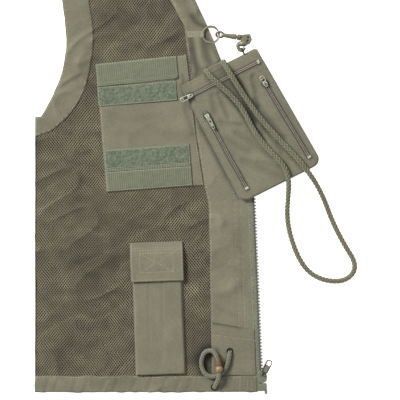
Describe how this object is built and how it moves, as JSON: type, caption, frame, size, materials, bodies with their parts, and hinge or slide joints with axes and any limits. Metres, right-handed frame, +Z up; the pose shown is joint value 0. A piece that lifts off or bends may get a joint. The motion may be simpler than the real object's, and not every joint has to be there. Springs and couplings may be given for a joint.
{
  "type": "fishing vest",
  "caption": "Fishing vest folded in half and laid flat, net lining up, with tape flaps, a tool pocket, a front zip, and a zipped pouch on a snap hook.",
  "frame": {"origin": "bottom centre of the vest's box, cords left out, on the surface that it lies on", "axes": "+Z up from that surface, +Y from the hem to the shoulder, +X from the side seam to the front zip"},
  "size_m": [0.4027, 0.62, 0.0293],
  "materials": {
    "shell_fabric": "plain woven polyester and cotton, olive khaki",
    "facing_fabric": "plain woven facing with topstitching",
    "mesh_net": "diamond net lining",
    "hook_tape": "ribbed hook tape",
    "loop_tape": "fuzzy loop tape",
    "webbing": "light webbing",
    "zip_tape": "woven zip tape",
    "zip_teeth": "moulded teeth",
    "coil": "nylon coil",
    "painted_metal": "olive paint over die-cast zinc, worn at the edges",
    "bright_metal": "nickel plated",
    "pull_metal": "dull nickel",
    "cord": "braided cord",
    "barrel_wood": "brown stained wood",
    "bead_wood": "tan wood"
  },
  "bodies": {
    "vest": {"right_front_facing": "facing_fabric", "right_armhole_facing": "facing_fabric", "right_hem_band": "facing_fabric", "right_front_lining": "mesh_net", "right_front_shell": "shell_fabric", "right_outer_pockets": "shell_fabric", "right_outer_flaps": "shell_fabric", "back_shell": "shell_fabric", "back_lining": "mesh_net", "left_outer_pockets": "shell_fabric", "left_outer_flaps": "shell_fabric", "left_front_shell": "shell_fabric", "left_mesh_lining": "mesh_net", "armhole_facing": "facing_fabric", "front_facing": "facing_fabric", "hem_band": "facing_fabric", "right_zip_tape": "zip_tape", "right_zip_teeth": "zip_teeth", "front_zip_tape": "zip_tape", "front_zip_teeth": "zip_teeth", "zip_retainer_box": "painted_metal", "front_zip_top_stop": "painted_metal", "inner_panel": "shell_fabric", "upper_loop_strip": "loop_tape", "lower_loop_strip": "loop_tape", "tool_pocket_back": "shell_fabric", "tool_pocket_front": "shell_fabric", "lower_facing_patch": "facing_fabric", "hem_eyelets": "painted_metal", "drawcord": "cord", "ring_tab": "webbing"},
    "front_slider": {"front_zip_slider": "painted_metal"},
    "front_pull": {"front_zip_pull": "pull_metal"},
    "upper_flap": {"upper_hook_flap": "hook_tape"},
    "lower_flap": {"lower_hook_flap": "hook_tape"},
    "tool_flap": {"tool_pocket_flap": "shell_fabric"},
    "toggle": {"drawcord_bead": "bead_wood", "drawcord_barrel": "barrel_wood"},
    "ring": {"accessory_ring": "painted_metal"},
    "hook_eye": {"snap_hook_eye": "painted_metal"},
    "hook_body": {"snap_hook_body": "painted_metal", "hook_rivets": "painted_metal"},
    "hook_gate": {"snap_hook_gate": "painted_metal"},
    "pouch": {"pouch_back": "shell_fabric", "pouch_front": "shell_fabric", "pouch_top_tab": "shell_fabric", "pouch_ring": "painted_metal", "pouch_top_zip": "coil", "pouch_left_zip": "coil", "pouch_right_zip": "coil", "pouch_zip_stops": "bright_metal", "neck_cord": "cord"},
    "pouch_top_slider": {"pouch_top_slider": "painted_metal"},
    "pouch_top_pull": {"pouch_top_pull": "pull_metal"},
    "pouch_left_slider": {"pouch_left_slider": "painted_metal"},
    "pouch_left_pull": {"pouch_left_pull": "pull_metal"},
    "pouch_right_slider": {"pouch_right_slider": "painted_metal"},
    "pouch_right_pull": {"pouch_right_pull": "pull_metal"}
  },
  "joints": [
    {"name": "front_slider_slide", "type": "slide", "parent": "vest", "child": "front_slider", "axis": [-0.0419, 0.9991, 0], "range_m": [0, 0.2]},
    {"name": "front_pull_hinge", "type": "hinge", "parent": "front_slider", "child": "front_pull", "pos_m": [0.10752, -0.28822, 0.01395], "axis": [0.8862, -0.4633, 0], "range_deg": [0, 150]},
    {"name": "upper_flap_hinge", "type": "hinge", "parent": "vest", "child": "upper_flap", "pos_m": [-0.04844, 0.07967, 0.0122], "axis": [0.9947, 0.1028, 0], "range_deg": [0, 178]},
    {"name": "lower_flap_hinge", "type": "hinge", "parent": "vest", "child": "lower_flap", "pos_m": [-0.03553, -0.03044, 0.0122], "axis": [-0.9973, -0.0732, 0], "range_deg": [0, 178]},
    {"name": "tool_flap_hinge", "type": "hinge", "parent": "vest", "child": "tool_flap", "pos_m": [-0.02569, -0.122, 0.0113], "axis": [-0.9994, -0.0349, 0], "range_deg": [0, 148]},
    {"name": "ring_turn", "type": "hinge", "parent": "vest", "child": "ring", "pos_m": [0.04282, 0.1365, 0.0121], "axis": [0, 0, 1], "range_deg": [0, 15]},
    {"name": "hook_round_ring", "type": "hinge", "parent": "ring", "child": "hook_eye", "pos_m": [0.04282, 0.1365, 0.0121], "axis": [0, 0, 1], "range_deg": [0, 15]},
    {"name": "hook_swivel", "type": "hinge", "parent": "hook_eye", "child": "hook_body", "pos_m": [0.05852, 0.1359, 0.0121], "axis": [-0.9898, 0.1426, 0], "range_deg": [0, 80]},
    {"name": "hook_gate_hinge", "type": "hinge", "parent": "hook_body", "child": "hook_gate", "pos_m": [0.08286, 0.12426, 0.0149], "axis": [0, 0, -1], "range_deg": [0, 18], "stiffness_Nm_per_rad": 0.002},
    {"name": "pouch_flip", "type": "hinge", "parent": "hook_body", "child": "pouch", "pos_m": [0.08262, 0.1152, 0.0149], "axis": [-0.8934, -0.4493, 0], "range_deg": [0, 75]},
    {"name": "pouch_top_slide", "type": "slide", "parent": "pouch", "child": "pouch_top_slider", "axis": [0.8934, 0.4493, 0], "range_m": [0, 0.088]},
    {"name": "pouch_top_pull_hinge", "type": "hinge", "parent": "pouch_top_slider", "child": "pouch_top_pull", "pos_m": [0.01717, 0.05948, 0.0224], "axis": [-0.4493, 0.8934, 0], "range_deg": [0, 165]},
    {"name": "pouch_left_slide", "type": "slide", "parent": "pouch", "child": "pouch_left_slider", "axis": [0.481, -0.8767, 0], "range_m": [0, 0.094]},
    {"name": "pouch_left_pull_hinge", "type": "hinge", "parent": "pouch_left_slider", "child": "pouch_left_pull", "pos_m": [0.03853, 0.03329, 0.0224], "axis": [-0.8767, -0.481, 0], "range_deg": [0, 165]},
    {"name": "pouch_right_slide", "type": "slide", "parent": "pouch", "child": "pouch_right_slider", "axis": [0.516, -0.8566, 0], "range_m": [0, 0.098]},
    {"name": "pouch_right_pull_hinge", "type": "hinge", "parent": "pouch_right_slider", "child": "pouch_right_pull", "pos_m": [0.11056, 0.07401, 0.0224], "axis": [0.8566, 0.516, 0], "range_deg": [0, 165]},
    {"name": "toggle_slide", "type": "slide", "parent": "vest", "child": "toggle", "axis": [-0.1362, 0.989, -0.0584], "range_m": [-0.001, 0.0015]}
  ]
}
